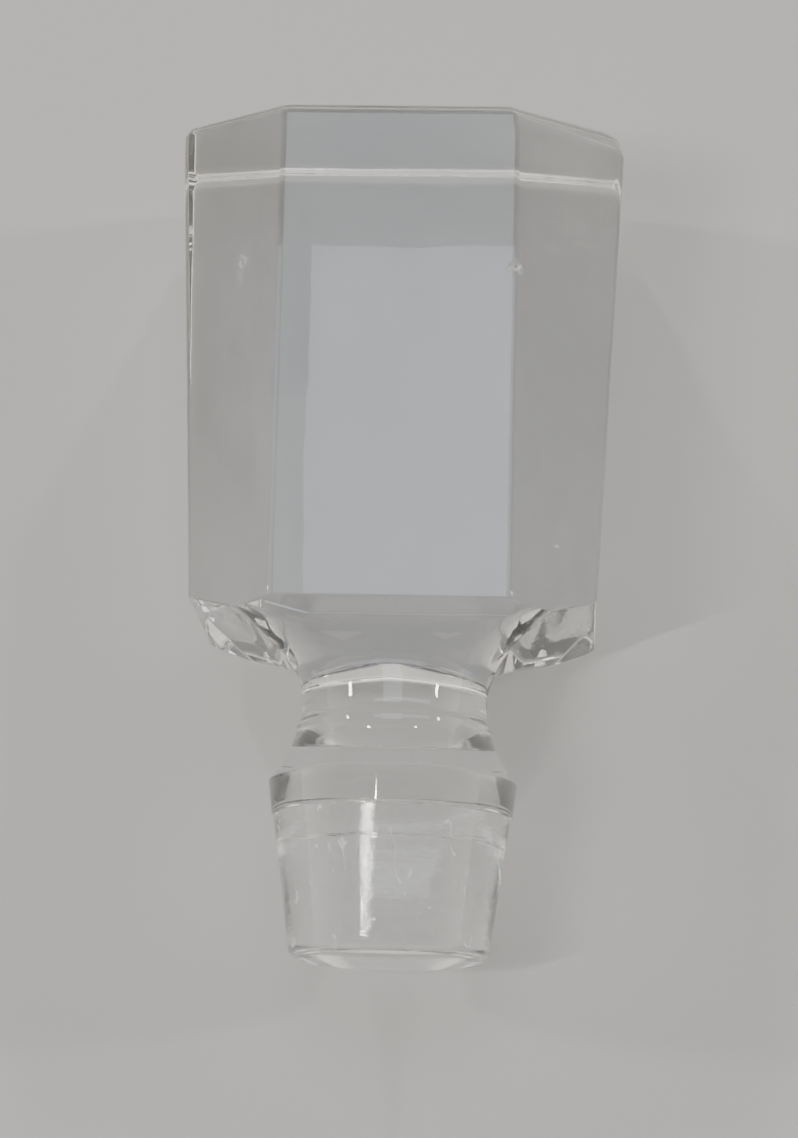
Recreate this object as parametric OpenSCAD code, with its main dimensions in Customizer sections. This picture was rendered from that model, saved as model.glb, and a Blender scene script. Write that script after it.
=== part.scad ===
// Solid glass decanter stopper, lying on the back of its head.
// The head is a tapered block with four bevelled long edges.
// It runs through a hollow shoulder into a round neck, a flange and a tapered ground plug.
// Units are millimetres. +Z is up, the head points along +Y and the plug along -Y.

/* [Head] */
// Length of the head, from the bottom of its sides to the top end
head_len = 49.4; // [36:0.2:64]
// Width of the head at the top end
head_w_top = 45; // [41:0.5:56]
// Width of the head at the bottom of its sides
head_w_low = 40.4; // [34:0.1:40.8]
// Thickness of the head, from front face to back face
head_t = 36.2; // [32:0.2:42]
// Width of the flat on the front
broad_flat = 22.6; // [17:0.2:28]
// Width of the flat on each side at the top end, taking all four bevels as large as the front ones
side_flat = 18.5; // [14:0.5:24]
// How wide the back bevels are, as a share of the front ones
back_share = 0.65; // [0.2:0.05:1]
// Radius of the worn outer edges
edge_r = 1.2; // [0.8:0.1:1.6]

/* [Shoulder] */
// Length of the shoulder, from the neck to the bottom of the head's sides
shoulder_len = 9; // [6:0.5:14]
// How far below the sides the front and back faces run down
crease_drop = 0.8; // [0:0.1:1.6]
// How far above the neck's thinnest point the front and back slopes start
slope_rise = 3.7; // [3.2:0.1:4.4]

/* [Neck and flange] */
// Diameter of the neck at its thinnest
neck_d = 18.75; // [15:0.25:20.5]
// Length from the flange up to the thinnest part of the neck
neck_len = 7.4; // [5:0.1:12]
// Diameter of the flange
flange_d = 25; // [24.5:0.25:30]
// Thickness of the flange
flange_len = 3.5; // [2:0.1:6]

/* [Plug] */
// Diameter of the ground plug next to the flange
plug_d = 24; // [22:0.25:24.25]
// Diameter of the ground plug at its end
plug_d_end = 20; // [16:0.25:21.5]
// Length of the ground plug
plug_len = 14.4; // [10:0.2:24]

/* [Hidden] */
glass = [0.86, 0.89, 0.90, 0.45];
steps_arc = 5;
steps_edge = 5;
neck_r = neck_d / 2;
neck_s = plug_len + flange_len + neck_len;
low_s = neck_s + shoulder_len;
total_len = low_s + head_len;
half_low = head_w_low / 2;
half_top = head_w_top / 2;
half_t = head_t / 2;
half_broad = broad_flat / 2;
bevel_run = (half_top - edge_r - half_broad) / (half_t - edge_r - side_flat / 2);
bevel_tilt = sqrt(1 + 1 / pow(bevel_run, 2));
crease_t = 1 - crease_drop / shoulder_len;
slope_t = slope_rise / shoulder_len;
round_t = 0.42;
bead_r = neck_r + 0.35;
slack = 0.04;

// A soft minimum of two values, which rounds the corner where they cross
function soft_min(a, b, k) = min(a, b) - pow(max(k - abs(a - b), 0), 2) / (4 * k);

// Half width of the head's flat sides at the distance s from the plug's end
function head_half(s) = half_low + (half_top - half_low) * (s - low_s) / head_len;

// The shoulder's outlines against its height t, 0 at the neck and 1 at the head: the sides
// follow a cube; the front and back are hollow, a gentle slope below a steep one, with soft corners
function height_t(s) = (s - neck_s) / shoulder_len;
function side_half(t) = neck_r + (half_low - neck_r) * pow(t, 3);
function low_slope(t) = neck_r + tan(50) * (t - slope_t) * shoulder_len;
function high_slope(t) = half_t - tan(72) * (crease_t - t) * shoulder_len;
function front_half(t) = -soft_min(soft_min(-neck_r, -low_slope(t), 0.8), -high_slope(t), 1.2);

// Half width, half thickness and edge radius of the section at s
function half_x(s) = soft_min(head_half(s), side_half(height_t(s)), 1.2);
function half_z(s) = soft_min(half_t, front_half(height_t(s)), 0.2);
function square_t(s) = min(max(1 - height_t(s), 0) / (1 - round_t), 1);
function corner_r(s) = edge_r + (neck_r - 2 * slack - edge_r) * pow(square_t(s), 1.5);

// Centres of the two corner arcs in a quarter of the section, one at the side and one at the front.
// Both lie on a line one radius inside the bevel, or at the square corner where the bevel misses it.
function inside(s) = half_t - edge_r - (corner_r(s) - edge_r) * bevel_tilt;
function corner_c(s) = [half_x(s) - corner_r(s), half_z(s) - corner_r(s)];
function side_c(s) = let (c = corner_c(s))
    [c[0], min(inside(s) - (c[0] - half_broad) / bevel_run, c[1]) - slack];
function broad_c(s) = let (c = corner_c(s))
    [min(half_broad + (inside(s) - c[1]) * bevel_run, c[0]) - slack, c[1]];

// The back's arc centres lie nearer the section's square corner, so its bevels are smaller
function back_side_c(s) = corner_c(s) + (side_c(s) - corner_c(s)) * back_share;
function back_broad_c(s) = corner_c(s) + (broad_c(s) - corner_c(s)) * back_share;

// Points on an arc about c, and a quarter section made of two such arcs and the bevel between them
function arc(c, r, a, b) = [for (i = [0:steps_arc])
    let (g = a + (b - a) * i / steps_arc) [c[0] + r * cos(g), c[1] + r * sin(g)]];
function bevelled(c, d, r) = let (g = atan2(c[0] - d[0], d[1] - c[1])) concat(arc(c, r, 0, g), arc(d, r, g, 90));

// The whole section from its front and back quarters, mirrored, and the same section as a ring in space
count = 2 * (steps_arc + 1);
function section(f, b) = concat(
    f,
    [for (i = [0:count - 1]) [-f[count - 1 - i][0], f[count - 1 - i][1]]],
    [for (i = [0:count - 1]) [-b[i][0], -b[i][1]]],
    [for (i = [0:count - 1]) [b[count - 1 - i][0], -b[count - 1 - i][1]]]);
function ring3(s, inset) = let (r = corner_r(s) - inset)
    [for (p = section(bevelled(side_c(s), broad_c(s), r), bevelled(back_side_c(s), back_broad_c(s), r)))
        [p[0], s, p[1]]];

// A round ring of radius r at s, with as many points as a section has
function round_quarter(r) = concat(
    arc([2 * slack, slack], r - 2 * slack, 0, 45),
    arc([slack, 2 * slack], r - 2 * slack, 45, 90));
function round_ring(r, s) = [for (p = section(round_quarter(r), round_quarter(r))) [p[0], s, p[1]]];

// The turned part as pairs of radius and height: worn end, ground plug, flange, cove and neck
cove_s = plug_len + flange_len;
cove_len = neck_len * 0.73;
turned = concat(
    [for (i = [0:4]) [plug_d_end / 2 - edge_r * (1 - sin(22.5 * i)), edge_r * (1 - cos(22.5 * i))]],
    [[plug_d / 2 - 0.1, plug_len - 0.3], [plug_d / 2 - 0.05, plug_len], [plug_d / 2 + 0.12, plug_len + 0.15]],
    [[flange_d / 2, cove_s - 0.5], [flange_d / 2 - 0.06, cove_s - 0.15], [flange_d / 2 - 0.25, cove_s]],
    [for (i = [0:10]) let (w = i / 10)
        [bead_r + (flange_d / 2 - 0.35 - bead_r) * pow(1 - w, 1.4), cove_s + 0.1 + (cove_len - 0.1) * w]],
    [for (i = [1:6]) let (w = i / 7)
        [neck_r + (bead_r - neck_r) * pow(1 - w, 2), cove_s + cove_len + (neck_len - cove_len) * w]]);

// Heights t up the shoulder, closest together where the slopes start and where they end
function between(a, b, steps) = [for (i = [0:steps]) a + (b - a) * i / steps];
stations = concat(
    [0, slope_t * 0.45, slope_t * 0.72],
    between(slope_t * 0.85, slope_t + 0.065, 6),
    between(slope_t + 0.09, crease_t - 0.07, 8),
    between(crease_t - 0.04, 1.07, 7));
function top_s(a) = total_len - edge_r + edge_r * sin(a);
function top_inset(a) = (edge_r - 0.5) * (1 - cos(a));
rings = concat(
    [for (q = turned) round_ring(q[0], q[1])],
    [for (t = stations) ring3(neck_s + shoulder_len * t, 0)],
    [for (i = [0:steps_edge]) ring3(top_s(90 * i / steps_edge), top_inset(90 * i / steps_edge))]);

// A closed skin over a stack of rings that all have the same number of points
module loft(stack) {
    n = len(stack[0]);
    last = len(stack) - 1;
    points = [for (r = stack) for (p = r) p];
    sides = [for (j = [0:last - 1]) for (i = [0:n - 1])
        let (k = (i + 1) % n)
        for (f = [[j * n + i, (j + 1) * n + i, (j + 1) * n + k], [j * n + i, (j + 1) * n + k, j * n + k]]) f];
    ends = [[for (i = [0:n - 1]) i], [for (i = [0:n - 1]) last * n + n - 1 - i]];
    polyhedron(points = points, faces = concat(sides, ends));
}

// The stopper, one piece of solid glass
module stopper() {
    color(glass) translate([0, -total_len / 2, half_t]) loft(rings);
}

stopper();
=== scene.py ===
import math
import bpy
import numpy as np
from mathutils import Matrix, Vector


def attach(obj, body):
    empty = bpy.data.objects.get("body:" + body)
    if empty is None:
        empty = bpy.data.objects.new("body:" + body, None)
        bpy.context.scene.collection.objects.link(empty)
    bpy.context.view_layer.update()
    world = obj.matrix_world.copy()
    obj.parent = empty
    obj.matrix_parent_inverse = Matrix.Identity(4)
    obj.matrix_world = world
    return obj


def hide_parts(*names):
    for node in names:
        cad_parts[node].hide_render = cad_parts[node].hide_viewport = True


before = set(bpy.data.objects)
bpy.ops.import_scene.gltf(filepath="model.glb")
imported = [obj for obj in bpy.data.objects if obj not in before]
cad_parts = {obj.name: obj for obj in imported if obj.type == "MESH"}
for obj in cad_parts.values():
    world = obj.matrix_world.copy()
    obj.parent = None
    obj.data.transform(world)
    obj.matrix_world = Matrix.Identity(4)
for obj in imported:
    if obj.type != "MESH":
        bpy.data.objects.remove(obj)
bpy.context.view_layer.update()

# The camera: a long lens above the plug's side of the stopper, tilted a little towards the head.
# Its sight line is tilted by tilt from straight down, then turned by pan and rolled by roll.
cameraValues = {
    "place": (0.01715, -0.0833, 0.3965),  # metres
    "tilt": 0.212,
    "pan": 0.044,
    "roll": 0.015,
    "lens": 171.43,  # millimetres on a 36 mm wide sensor
}


def makeCamera(values):
    tilt, pan, roll = values["tilt"], values["pan"], values["roll"]
    down = Vector((0, math.sin(tilt), -math.cos(tilt)))
    up = Vector((0, math.cos(tilt), math.sin(tilt)))
    right = Vector((1, 0, 0))
    panRight = math.cos(pan) * right + math.sin(pan) * down
    sight = math.cos(pan) * down - math.sin(pan) * right
    imageRight = math.cos(roll) * panRight + math.sin(roll) * up
    imageUp = math.cos(roll) * up - math.sin(roll) * panRight
    data = bpy.data.cameras.new("camera")
    data.sensor_fit = "HORIZONTAL"
    data.sensor_width = 36
    data.lens = values["lens"]
    data.clip_start = 0.01
    data.clip_end = 20
    data.dof.use_dof = False
    camera = bpy.data.objects.new("camera", data)
    turn = Matrix((imageRight, imageUp, -sight)).transposed().to_4x4()
    camera.matrix_world = Matrix.Translation(values["place"]) @ turn
    bpy.context.scene.collection.objects.link(camera)
    bpy.context.scene.camera = camera


makeCamera(cameraValues)
print("camera placed")

# The stopper's sizes in millimetres, measured along its axis from the plug's end.
stopperValues = {
    "headWidthTop": 45.0,
    "headWidthLow": 40.4,
    "headThickness": 36.2,
    "broadFlat": 22.6,
    "sideFlat": 18.5,
    "backShare": 0.65,  # how wide the back bevels are, as a share of the front ones
    "edgeRadius": 1.2,
    "neckRadius": 9.375,
    "neckHeight": 25.3,
    "lowHeight": 34.3,
    "length": 83.7,
    "creaseDrop": 0.8,
    "slopeRise": 3.7,  # how far above the neck the front and back slopes start
    "lowSlope": 50,  # degrees, of the hollow's gentle part and its steep part
    "highSlope": 72,
    "roundShare": 0.42,  # the section is still round up to this share of the shoulder
    "endRadius": 9.95,
    "endRound": 1.1,
    "coneHeight": 14.3,
    "coneRadius": 11.93,
    "bandHeight": 14.45,  # the narrow step from the cone to the band under the flange
    "bandRadius": 12.12,
    "stepRound": 0.12,
    "beadRadius": 9.725,
    "flangeRadius": 12.5,
    "flangeTop": 17.9,
    "coveTop": 23.3,
    "ridge": 0.13,
    "topEase": 0.5,  # how far the sides draw in over the last easeLength below the top end
    "easeLength": 2.5,
    "wornShare": 0.06,  # the right top corner's wear: how far its side draws in, and over what length
    "wornLength": 3.0,
    "arcSteps": 14,
    "slack": 0.02,
}


# A soft minimum: the smaller value, less a quarter of k where the two cross.
def softMin(a, b, k):
    return np.minimum(a, b) - np.maximum(k - np.abs(a - b), 0) ** 2 / (4 * k)


# The section at each height s as the centres of its corner arcs and their radius.
# The head's sides widen evenly, drawn in by a cube near the top end.
# The shoulder's sides follow neck radius plus a cube of the height t.
# Its front and back are hollow, a gentle slope below a steep one.
# Each joins the neck and the head's own half width or thickness in a soft minimum.
# Both centres lie on a line one radius inside the bevel, or at the square corner
# where the bevel misses it; the back's lie nearer that corner, so its bevels are smaller.
def sectionAt(s, v):
    half = v["headWidthLow"] / 2
    halfTop = v["headWidthTop"] / 2
    thick = v["headThickness"] / 2
    broad = v["broadFlat"] / 2
    r0, neck, slack = v["edgeRadius"], v["neckRadius"], v["slack"]
    shoulder = v["lowHeight"] - v["neckHeight"]
    run = (halfTop - r0 - broad) / (thick - r0 - v["sideFlat"] / 2)
    t = (s - v["neckHeight"]) / shoulder
    head = half + (halfTop - half) * (s - v["lowHeight"]) / (v["length"] - v["lowHeight"])
    ease = np.clip(1 - (v["length"] - s) / v["easeLength"], 0, 1)
    head = head - v["topEase"] * ease ** 3
    halfX = softMin(head, neck + (half - neck) * np.clip(t, 0, None) ** 3, 1.2)
    crease, foot = 1 - v["creaseDrop"] / shoulder, v["slopeRise"] / shoulder
    lowSlope = neck + math.tan(math.radians(v["lowSlope"])) * (t - foot) * shoulder
    highSlope = thick - math.tan(math.radians(v["highSlope"])) * (crease - t) * shoulder
    halfZ = softMin(thick, -softMin(softMin(-neck, -lowSlope, 0.8), -highSlope, 1.2), 0.2)
    square = np.clip((1 - t) / (1 - v["roundShare"]), 0, 1)
    radius = r0 + (neck - 2 * slack - r0) * square ** 1.5
    inside = thick - r0 - (radius - r0) * math.sqrt(1 + 1 / run ** 2)
    x, z = halfX - radius, halfZ - radius
    corner = np.stack([x, z])
    side = np.stack([x, np.minimum(inside - (x - broad) / run, z) - slack])
    broadSide = np.stack([np.minimum(broad + (inside - z) * run, x) - slack, z])
    return np.stack([side, broadSide, corner + (side - corner) * v["backShare"],
                     corner + (broadSide - corner) * v["backShare"]]), radius


# A turned outline: straight runs between corners (height, radius), each corner an arc of its own radius.
# Returns heights, radii and the outline's direction at every point.
def turnedOutline(corners):
    heights, radii, headings = [], [], []
    for i, (s, r, fillet, steps) in enumerate(corners):
        here = np.array([s, r])
        if i in (0, len(corners) - 1):
            other = np.array(corners[1 if i == 0 else -2][:2])
            way = (other - here) if i == 0 else (here - other)
            way = way / np.linalg.norm(way)
            heights.append([s]), radii.append([r]), headings.append([math.atan2(way[1], way[0])])
            continue
        before = here - np.array(corners[i - 1][:2])
        after = np.array(corners[i + 1][:2]) - here
        a = math.atan2(before[1], before[0])
        b = math.atan2(after[1], after[0])
        turn = (b - a + math.pi) % (2 * math.pi) - math.pi
        reach = fillet * math.tan(abs(turn) / 2)
        start = here - before / np.linalg.norm(before) * reach
        normal = np.array([-math.sin(a), math.cos(a)]) * math.copysign(fillet, turn)
        centre = start + normal
        angles = a + turn * np.linspace(0, 1, steps)
        spoke = np.stack([np.sin(angles), -np.cos(angles)]) * math.copysign(fillet, turn)
        heights.append(centre[0] + spoke[0]), radii.append(centre[1] + spoke[1]), headings.append(angles)
    return np.concatenate(heights), np.concatenate(radii), np.concatenate(headings)


# Every point is an arc centre plus the radius along the arc's own direction, in a quarter section;
# its normal leans along the axis by how fast centre and radius grow.
def quarterRings(side, broadSide, dSide, dBroad, radius, dRadius, height, dHeight, n):
    bevel = np.arctan2(side[0] - broadSide[0], broadSide[1] - side[1])[:, None]
    share = np.linspace(0, 1, n)
    angle = np.concatenate([bevel * share, bevel + (math.pi / 2 - bevel) * share], axis=1)
    spread = lambda a: np.repeat(a[:, None], n, 1)
    pick = lambda a, b: np.concatenate([spread(a), spread(b)], axis=1)
    nx, nz = np.cos(angle), np.sin(angle)
    x = pick(side[0], broadSide[0]) + radius[:, None] * nx
    z = pick(side[1], broadSide[1]) + radius[:, None] * nz
    lean = pick(dSide[0], dBroad[0]) * nx + pick(dSide[1], dBroad[1]) * nz + dRadius[:, None]
    points = np.stack([x, np.repeat(height[:, None], 2 * n, 1), z], axis=2)
    normals = np.stack([nx * dHeight[:, None], -lean, nz * dHeight[:, None]], axis=2)
    return points, normals / np.linalg.norm(normals, axis=2, keepdims=True)


# Front and back quarters mirrored left and right into whole rings.
def wholeRings(centres, dCentres, radius, dRadius, height, dHeight, n):
    front, back = (
        quarterRings(centres[i], centres[i + 1], dCentres[i], dCentres[i + 1],
                     radius, dRadius, height, dHeight, n)
        for i in (0, 2))
    left, down, both = np.array([-1, 1, 1]), np.array([1, 1, -1]), np.array([-1, 1, -1])
    return [np.concatenate([f, f[:, ::-1] * left, b * both, b[:, ::-1] * down], axis=1)
            for f, b in zip(front, back)]


# The cove above the flange: radius falls towards the neck as a power of the height left,
# and over the last stretch as a square, with a low bell-shaped ridge where the two meet.
def coveOutline(v):
    low, high, neckStart = v["flangeTop"] + 0.1, v["coveTop"], v["neckHeight"]
    bead = v["beadRadius"]
    s = np.concatenate([np.linspace(low, high, 30), np.linspace(high, neckStart - 0.05, 24)[1:]])

    def radiusAt(s):
        w = np.clip((s - low) / (high - low), 0, 1)
        u = np.clip((s - high) / (neckStart - high), 0, 1)
        r = bead + (v["flangeRadius"] - 0.35 - bead) * (1 - w) ** 1.4
        ridge = v["ridge"] * np.exp(-((s - high - 0.1) / 0.45) ** 2)
        return r - (bead - v["neckRadius"]) * (1 - (1 - u) ** 2) + ridge

    slope = (radiusAt(s + 1e-3) - radiusAt(s - 1e-3)) / 2e-3
    return s, radiusAt(s), np.arctan(slope)


# The right top corner is worn rounder. Points right of the middle are scaled in by
# one less wornShare times the square of the height reached, and their normals lean to match.
def wearCorner(points, normals, heights, v):
    reach = np.clip(1 - (v["length"] - heights) / v["wornLength"], 0, 1)
    right = points[:, :, 0] > 0
    squeeze = np.where(right, 1 - v["wornShare"] * reach ** 2, 1)
    slope = np.where(right, -2 * v["wornShare"] * reach / v["wornLength"], 0)
    normals[:, :, 1] -= points[:, :, 0] * slope / squeeze * normals[:, :, 0]
    normals[:, :, 0] /= squeeze
    normals /= np.linalg.norm(normals, axis=2, keepdims=True)
    points[:, :, 0] *= squeeze
    return points, normals


# The whole stopper: turned rings up to the neck, section rings through shoulder and head,
# then a quarter round at the top edge; each end is closed with one flat face.
def makeStopper(v):
    slack = v["slack"]
    lathe = turnedOutline([
        (0.0, 0.4, 0, 1),
        (0.0, v["endRadius"], v["endRound"], 14),
        (v["coneHeight"], v["coneRadius"], v["stepRound"], 5),
        (v["bandHeight"], v["bandRadius"], v["stepRound"], 5),
        (v["flangeTop"] - 0.05, v["flangeRadius"] + 0.02, 0.2, 7),
        (v["flangeTop"] + 0.05, v["flangeRadius"] - 0.33, 0, 1),
    ])
    s1, r1, heading = (np.concatenate(q) for q in zip(lathe, coveOutline(v)))
    wide, narrow = np.full(len(s1), 2 * slack), np.full(len(s1), slack)
    turned = np.stack([np.stack([wide, narrow]), np.stack([narrow, wide])] * 2)
    turnedRadius = r1 - 2 * slack

    neck, low, top, r0 = v["neckHeight"], v["lowHeight"], v["length"], v["edgeRadius"]
    s2 = np.concatenate([
        np.linspace(neck, 28.8, 16),
        np.linspace(28.83, 30.3, 60),
        np.linspace(30.4, low - 1.6, 24),
        np.linspace(low - 1.57, low + 0.5, 50),
        np.linspace(low + 0.8, top - r0, 30),
    ])
    a = np.linspace(0, math.pi / 2, 14)[1:]
    s3 = top - r0 + r0 * np.sin(a)
    s = np.concatenate([s2, s3])
    step = 1e-3
    centres, radius = sectionAt(s, v)
    (centresUp, radiusUp), (centresDown, radiusDown) = sectionAt(s + step, v), sectionAt(s - step, v)
    dCentres, dRadius = (centresUp - centresDown) / (2 * step), (radiusUp - radiusDown) / (2 * step)
    along = np.concatenate([s2 * 0 + 1, r0 * np.cos(a)])
    turn = np.concatenate([s2 * 0, a])
    radius = radius - (r0 - 0.05) * (1 - np.cos(turn))
    dRadius = dRadius * along - (r0 - 0.05) * np.sin(turn)

    joined = lambda *parts: np.concatenate(parts, axis=-1)
    points, normals = wholeRings(
        joined(turned, centres), joined(turned * 0, dCentres * along), joined(turnedRadius, radius),
        joined(np.sin(heading), dRadius), joined(s1, s), joined(np.cos(heading), along), v["arcSteps"])
    points, normals = wearCorner(points, normals, joined(s1, s)[:, None], v)
    rows, count = points.shape[:2]
    points = points.reshape(-1, 3) + np.array([0, -top / 2, v["headThickness"] / 2])
    i = np.arange(count)
    k = (i + 1) % count
    j = np.arange(rows - 1)[:, None] * count
    quads = np.stack([j + i, j + count + i, j + count + k, j + k], axis=2).reshape(-1, 4)
    ends = [list(range(count)), list(range(rows * count - 1, (rows - 1) * count - 1, -1))]
    mesh = bpy.data.meshes.new("glassStopper")
    mesh.from_pydata((points / 1000).tolist(), [], quads.tolist() + ends)
    mesh.polygons.foreach_set("use_smooth", np.ones(len(mesh.polygons), bool))
    mesh.update()
    mesh.normals_split_custom_set_from_vertices(normals.reshape(-1, 3).tolist())
    stopper = bpy.data.objects.new("glassStopper", mesh)
    bpy.context.scene.collection.objects.link(stopper)
    return stopper


stopper = makeStopper(stopperValues)
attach(stopper, "root")
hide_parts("stopper")
print("stopper made", len(stopper.data.polygons), "faces")

glassValues = {
    "color": (0.985, 0.99, 0.988, 1),
    "ior": 1.52,
    "polishedRoughness": 0.004,
    "groundRoughness": 0.035,
    "plugEnd": -0.02745,  # metres along the axis, where the ground cone meets the flange
    "waveHeight": 0.0003,  # metres, before the strength of its bump
    "ringHeight": 0.00004,
    "film": 0.14,  # how much of the light the wiping marks on the head scatter
    "groundFilm": 0.10,
    "bruises": [  # small white bruises on the front: place and reach in metres
        (-0.0155, 0.0261, 0.0330, 0.0009),
        (0.0117, 0.0249, 0.0358, 0.0010),
        (0.0160, -0.0025, 0.0326, 0.0005),
    ],
}


# Clear glass. The ground cone is rougher, with fine grain, turned rings and a few scratches;
# the head has faint wiping marks, scuffs and three small bruises.
def makeGlass(v):
    material = bpy.data.materials.new("clearGlass")
    material.use_nodes = True
    tree = material.node_tree
    nodes, links = tree.nodes, tree.links
    shader = nodes["Principled BSDF"]
    shader.inputs["Base Color"].default_value = v["color"]
    shader.inputs["IOR"].default_value = v["ior"]
    place = nodes.new("ShaderNodeTexCoord").outputs["Object"]

    def noise(scale, detail, rough, stretch=(1, 1, 1)):
        mapping = nodes.new("ShaderNodeMapping")
        mapping.inputs["Scale"].default_value = stretch
        links.new(place, mapping.inputs["Vector"])
        n = nodes.new("ShaderNodeTexNoise")
        n.inputs["Scale"].default_value = scale
        n.inputs["Detail"].default_value = detail
        n.inputs["Roughness"].default_value = rough
        links.new(mapping.outputs["Vector"], n.inputs["Vector"])
        return n.outputs["Fac"]

    def ranged(value, a, b, c, d):
        m = nodes.new("ShaderNodeMapRange")
        links.new(value, m.inputs["Value"])
        m.inputs["From Min"].default_value, m.inputs["From Max"].default_value = a, b
        m.inputs["To Min"].default_value, m.inputs["To Max"].default_value = c, d
        return m.outputs["Result"]

    def maths(kind, a, b=0.0):
        m = nodes.new("ShaderNodeMath")
        m.operation = kind
        for socket, value in zip(m.inputs, (a, b)):
            if hasattr(value, "links"):
                links.new(value, socket)
            else:
                socket.default_value = value
        return m.outputs[0]

    # thin wandering lines where a noise crosses its middle, kept only where a second noise is high
    def scratches(scale, width, stretch, share):
        offMiddle = maths("ABSOLUTE", maths("SUBTRACT", noise(scale, 2, 0.5, stretch), 0.5))
        kept = ranged(noise(scale * 1.7, 1, 0.5), share, share + 0.06, 0, 1)
        return maths("MULTIPLY", ranged(offMiddle, 0, width, 1, 0), kept)

    axes = nodes.new("ShaderNodeSeparateXYZ")
    links.new(place, axes.inputs[0])
    plug = ranged(axes.outputs["Y"], v["plugEnd"] + 0.0001, v["plugEnd"] - 0.0001, 0, 1)
    head = maths("SUBTRACT", 1.0, plug)

    mottle = ranged(noise(700, 4, 0.6), 0.3, 0.7, 0.4, 1.5)
    plugLines = scratches(300, 0.011, (1, 0.3, 1), 0.54)
    headLines = scratches(120, 0.0016, (1, 1, 1), 0.6)
    film = maths("MULTIPLY", ranged(noise(46, 5, 0.62, (1, 0.6, 1)), 0.46, 0.74, 0, v["film"]), head)
    groundFilm = maths("MULTIPLY", maths("MULTIPLY", plug, mottle), v["groundFilm"])

    spots = None
    for x, y, z, reach in v["bruises"]:
        away = nodes.new("ShaderNodeVectorMath")
        away.operation = "DISTANCE"
        links.new(place, away.inputs[0])
        away.inputs[1].default_value = (x, y, z)
        spot = ranged(away.outputs["Value"], 0.15 * reach, reach, 1, 0)
        spots = spot if spots is None else maths("MAXIMUM", spots, spot)
    bruise = maths("MULTIPLY", spots, ranged(noise(2600, 4, 0.7), 0.42, 0.62, 0, 1))

    # how much light is scattered instead of passing through
    scattered = maths("ADD", film, groundFilm)
    scattered = maths("ADD", scattered, maths("MULTIPLY", bruise, 0.75))
    scattered = maths("ADD", scattered, maths("MULTIPLY", maths("MULTIPLY", plugLines, plug), 0.45))
    scattered = maths("ADD", scattered, maths("MULTIPLY", maths("MULTIPLY", headLines, head), 0.12))
    links.new(maths("SUBTRACT", 1.0, scattered), shader.inputs["Transmission Weight"])

    ground = maths("MULTIPLY", maths("MULTIPLY", plug, mottle), v["groundRoughness"])
    scuffs = maths("ADD", ranged(noise(260, 5, 0.7), 0.6, 0.8, 0, 0.06), maths("MULTIPLY", bruise, 0.4))
    roughness = maths("ADD", maths("ADD", ground, scuffs), v["polishedRoughness"])
    links.new(roughness, shader.inputs["Roughness"])

    # the head's faces wave very gently, less towards the shoulder;
    # the ground cone adds grain and turned rings
    def bump(height, distance, strength, under=None):
        b = nodes.new("ShaderNodeBump")
        b.inputs["Distance"].default_value = distance
        b.inputs["Strength"].default_value = strength
        links.new(height, b.inputs["Height"])
        if under:
            links.new(under, b.inputs["Normal"])
        return b.outputs["Normal"]

    shoulder = ranged(axes.outputs["Y"], -0.0085, -0.002, 0, 1)
    level = maths("MULTIPLY", maths("SUBTRACT", noise(60, 2, 0.45), 0.5), shoulder)
    dents = maths("ADD", level, maths("MULTIPLY", bruise, 0.5))
    waves = bump(dents, v["waveHeight"], 0.3)
    grain = maths("MULTIPLY", noise(800, 3, 0.6), 0.15)
    rings = maths("MULTIPLY", maths("ADD", grain, noise(1, 3, 0.6, (60, 1500, 60))), plug)
    links.new(bump(rings, v["ringHeight"], 0.6, waves), shader.inputs["Normal"])
    return material


glass = makeGlass(glassValues)
stopper.data.materials.append(glass)
print("glass made")

studioValues = {
    "floorColor": (0.60, 0.60, 0.595, 1),
    "floorDark": (0.592, 0.592, 0.587, 1),
    "floorLevel": -0.00005,
    "horizonColor": (1.0, 0.93, 0.83, 1),
    "zenithColor": (0.085, 0.088, 0.095, 1),
    "bandHeight": 0.7,
    "worldStrength": 2.1,
    "lights": [  # name, place, aim, width and height in metres, power in watts, colour
        ("ceilingPanel", (0, 0.28, 1), (0, 0.03, 0), 0.40, 0.30, 1.2, (0.84, 0.91, 1)),
        ("stripLight", (-0.34, -0.15, 0.92), (0, -0.03, 0), 0.008, 0.3, 2.0, (1, 0.98, 0.95)),
        ("backLeftLamp", (-0.6, 1.2, 0.9), (0, 0, 0), 0.08, 0.08, 3.0, (1, 0.96, 0.9)),
        ("backRightLamp", (0.6, 1.2, 0.9), (0, 0, 0), 0.08, 0.08, 3.0, (1, 0.96, 0.9)),
        ("leftLamp", (-1.15, 0.2, 0.85), (0, 0, 0), 0.09, 0.09, 3.2, (1, 0.96, 0.9)),
        ("rightLamp", (1.2, 0.2, 0.85), (0, 0, 0), 0.09, 0.09, 3.2, (1, 0.96, 0.9)),
    ],
}


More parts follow.
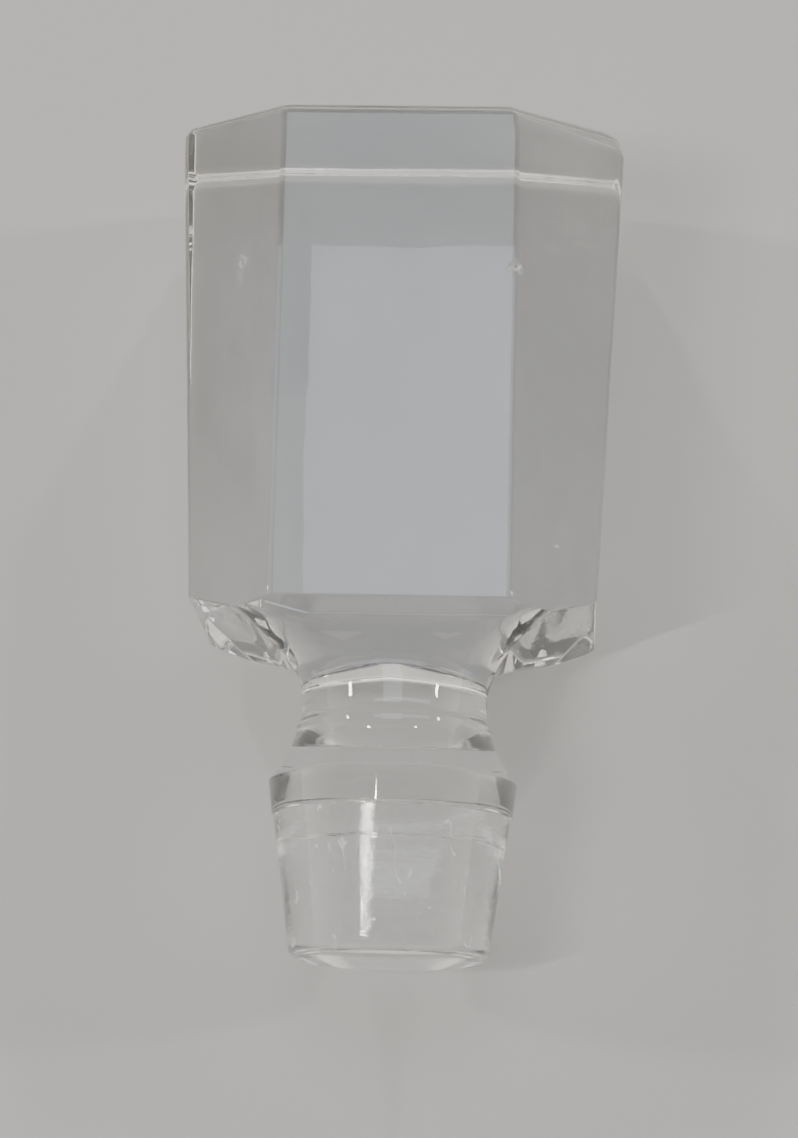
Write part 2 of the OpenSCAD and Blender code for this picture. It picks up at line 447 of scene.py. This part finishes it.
def makeStudio(v):
    mesh = bpy.data.meshes.new("floor")
    size, level = 3.0, v["floorLevel"]
    corners = [(-size, -size, level), (size, -size, level), (size, size, level), (-size, size, level)]
    mesh.from_pydata(corners, [], [(0, 1, 2, 3)])
    floor = bpy.data.objects.new("floor", mesh)
    bpy.context.scene.collection.objects.link(floor)
    material = bpy.data.materials.new("floorPaper")
    material.use_nodes = True
    nodes, links = material.node_tree.nodes, material.node_tree.links
    shader = nodes["Principled BSDF"]
    shader.inputs["Roughness"].default_value = 0.9
    place = nodes.new("ShaderNodeTexCoord")
    grain = nodes.new("ShaderNodeTexNoise")
    grain.inputs["Scale"].default_value = 900
    grain.inputs["Detail"].default_value = 3
    links.new(place.outputs["Object"], grain.inputs["Vector"])
    tone = nodes.new("ShaderNodeMix")
    tone.data_type = "RGBA"
    tone.inputs["A"].default_value = v["floorDark"]
    tone.inputs["B"].default_value = v["floorColor"]
    links.new(grain.outputs["Fac"], tone.inputs["Factor"])
    links.new(tone.outputs["Result"], shader.inputs["Base Color"])
    mesh.materials.append(material)

    # the sky is light at the horizon and dark from bandHeight up, with an even change between
    world = bpy.data.worlds.new("studio")
    bpy.context.scene.world = world
    world.use_nodes = True
    nodes, links = world.node_tree.nodes, world.node_tree.links
    back = nodes["Background"]
    back.inputs["Strength"].default_value = v["worldStrength"]
    way = nodes.new("ShaderNodeTexCoord")
    axes = nodes.new("ShaderNodeSeparateXYZ")
    links.new(way.outputs["Generated"], axes.inputs[0])
    rise = nodes.new("ShaderNodeMapRange")
    rise.inputs["From Max"].default_value = v["bandHeight"]
    links.new(axes.outputs["Z"], rise.inputs["Value"])
    sky = nodes.new("ShaderNodeMix")
    sky.data_type = "RGBA"
    sky.inputs["A"].default_value = v["horizonColor"]
    sky.inputs["B"].default_value = v["zenithColor"]
    links.new(rise.outputs["Result"], sky.inputs["Factor"])
    links.new(sky.outputs["Result"], back.inputs["Color"])

    def softLight(name, place, aim, width, height, power, color):
        data = bpy.data.lights.new(name, "AREA")
        data.shape = "RECTANGLE"
        data.size, data.size_y = width, height
        data.energy = power
        data.color = color
        light = bpy.data.objects.new(name, data)
        light.location = place
        light.rotation_euler = (Vector(aim) - Vector(place)).to_track_quat("-Z", "Y").to_euler()
        bpy.context.scene.collection.objects.link(light)

    for light in v["lights"]:
        softLight(*light)


makeStudio(studioValues)
print("studio lit")
